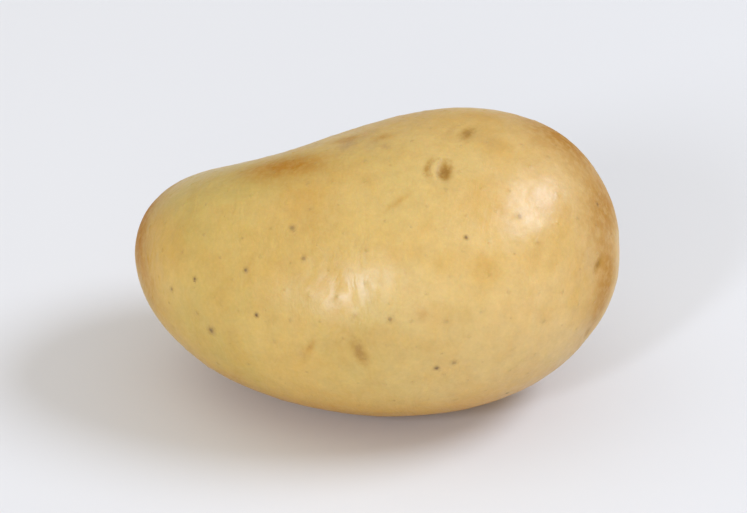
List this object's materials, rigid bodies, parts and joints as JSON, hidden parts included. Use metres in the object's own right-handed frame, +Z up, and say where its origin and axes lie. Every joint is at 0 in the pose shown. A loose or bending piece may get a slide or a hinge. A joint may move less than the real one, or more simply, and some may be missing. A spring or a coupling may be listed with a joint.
{
  "type": "potato",
  "caption": "Whole washed waxy potato, slightly kidney-shaped, with a shallow bend along its top and smooth yellow skin, lying on a small flat spot.",
  "frame": {"origin": "middle of the potato's box, on the surface that it lies on", "axes": "+X along the potato from its narrow stem end to its broad rose end, +Z up, -Y towards its full front"},
  "size_m": [0.08, 0.0557, 0.0473],
  "materials": {
    "potato_skin": "satin"
  },
  "bodies": {
    "root": {"potato": "potato_skin"}
  },
  "joints": []
}
